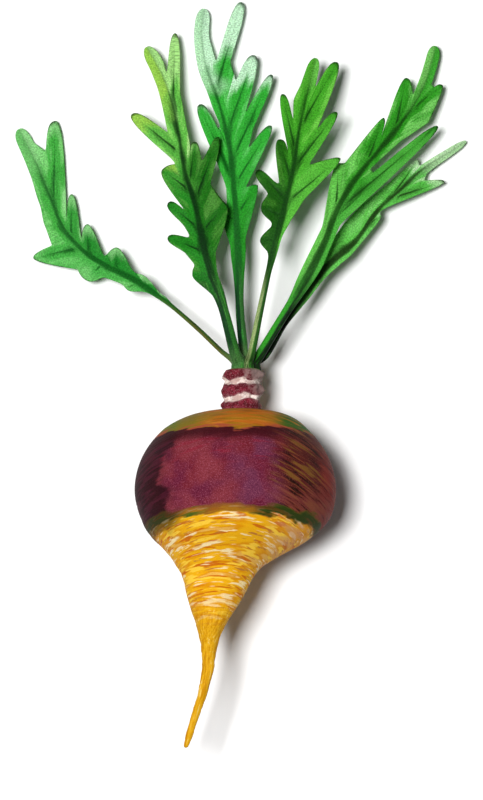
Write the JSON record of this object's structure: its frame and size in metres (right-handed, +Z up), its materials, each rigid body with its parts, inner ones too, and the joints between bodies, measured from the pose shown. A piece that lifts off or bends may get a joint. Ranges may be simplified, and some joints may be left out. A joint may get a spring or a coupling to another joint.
{
  "type": "rutabaga with leaves",
  "caption": "Round purple and yellow root vegetable with a ringed neck, a thin tapering tail and lobed green leaves, lying on its side.",
  "frame": {"origin": "middle of the small flat spot under the swollen root that the part rests on", "axes": "+Z up from the surface it lies on, +Y along the part from the tail towards the leaves, +X to the right when seen from above with the leaves at the top"},
  "size_m": [0.2763, 0.4511, 0.1177],
  "materials": {
    "root_skin": "satin",
    "leaf_green": "satin"
  },
  "bodies": {
    "root": {"swollen_root": "root_skin", "leaf_far_left": "leaf_green", "leaf_left": "leaf_green", "leaf_middle": "leaf_green", "leaf_inner_right": "leaf_green", "leaf_right": "leaf_green", "leaf_far_right": "leaf_green"}
  },
  "joints": []
}
